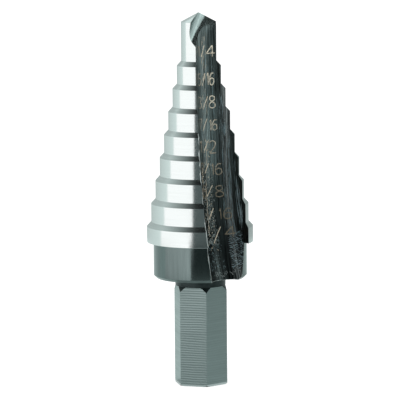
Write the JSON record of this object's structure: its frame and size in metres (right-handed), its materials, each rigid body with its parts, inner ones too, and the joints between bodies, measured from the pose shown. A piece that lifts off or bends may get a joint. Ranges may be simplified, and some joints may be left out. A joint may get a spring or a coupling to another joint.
{
  "type": "step drill",
  "caption": "Straight-fluted step drill with a stepped conical cutting body, a self-starting gashed point, a plain hub and a hexagonal shank.",
  "frame": {"origin": "centre of the shank's flat end face", "axes": "+Z along the drill's axis from the shank's end to the point; the flute opens towards -Y"},
  "size_m": [0.019, 0.0185, 0.0666],
  "materials": {
    "high_speed_steel": "bright ground lands, satin hub and shank, darker ground flute"
  },
  "bodies": {
    "root": {"step_drill": "high_speed_steel"}
  },
  "joints": []
}
